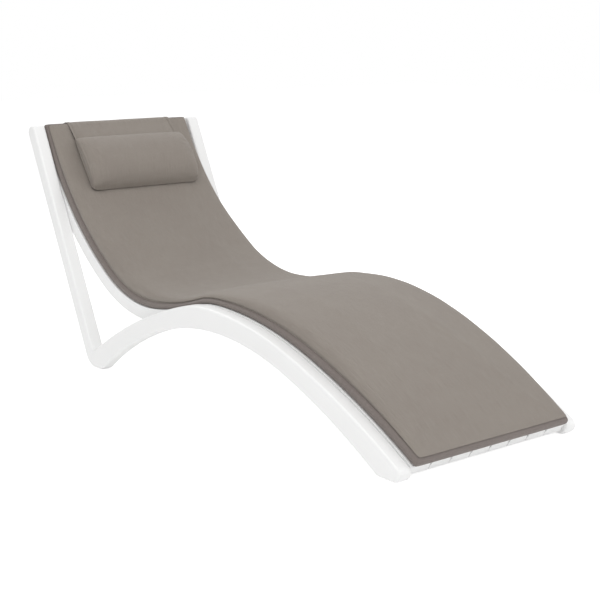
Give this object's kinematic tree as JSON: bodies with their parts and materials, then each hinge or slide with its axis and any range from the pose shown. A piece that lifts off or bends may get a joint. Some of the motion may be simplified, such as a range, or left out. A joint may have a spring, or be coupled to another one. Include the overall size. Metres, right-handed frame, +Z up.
{
  "type": "sun lounger",
  "caption": "Low sun lounger with moulded white side frames, a slatted S-curved deck, a long fabric cushion and a sliding head pillow.",
  "frame": {"origin": "on the floor, in the middle of the lounger's outline", "axes": "+Z up, +Y towards the head end, X across the width"},
  "size_m": [0.6, 1.6809, 0.6912],
  "materials": {
    "resin": "satin white moulded resin",
    "canvas": "matt woven outdoor canvas, taupe",
    "foam": "open-cell foam",
    "rubber": "matt",
    "steel": "stainless",
    "brass": "turned",
    "zip": "nylon coil and tape"
  },
  "bodies": {
    "lounger": {"left_side_frame": "resin", "right_side_frame": "resin", "seat_deck": "resin", "left_foot_glide": "rubber", "left_head_glide": "rubber", "left_deck_screw_1": "steel", "left_insert_1": "brass", "left_deck_screw_2": "steel", "left_insert_2": "brass", "left_deck_screw_3": "steel", "left_insert_3": "brass", "left_deck_screw_4": "steel", "left_insert_4": "brass", "left_deck_screw_5": "steel", "left_insert_5": "brass", "left_foot_tie": "canvas", "left_head_tie": "canvas", "right_foot_glide": "rubber", "right_head_glide": "rubber", "right_deck_screw_1": "steel", "right_insert_1": "brass", "right_deck_screw_2": "steel", "right_insert_2": "brass", "right_deck_screw_3": "steel", "right_insert_3": "brass", "right_deck_screw_4": "steel", "right_insert_4": "brass", "right_deck_screw_5": "steel", "right_insert_5": "brass", "right_foot_tie": "canvas", "right_head_tie": "canvas", "cushion_cover": "canvas", "cushion_core": "foam", "zip_chain": "zip", "pillow_flap": "canvas"},
    "pillow": {"pillow_cover": "canvas", "pillow_fill": "foam"},
    "weight": {"weight_pocket": "canvas", "counterweight": "steel"},
    "slider": {"zip_slider": "steel"}
  },
  "joints": [
    {"name": "pillow_slide", "type": "hinge", "parent": "lounger", "child": "pillow", "pos_m": [0, -0.0149, 1.0314], "axis": [1, 0, 0], "range_deg": [-4.1, 2.4], "deforming": ["pillow_flap"]},
    {"name": "counterweight_lift", "type": "slide", "parent": "lounger", "child": "weight", "axis": [0, 0, 1], "range_m": [-0.036, 0.06], "deforming": ["pillow_flap"]},
    {"name": "zip_slide", "type": "slide", "parent": "lounger", "child": "slider", "axis": [1, 0, 0], "range_m": [-0.375, 0]}
  ],
  "couplings": [
    {"joint": "counterweight_lift", "follows": "pillow_slide", "m_per_rad": -0.81}
  ]
}
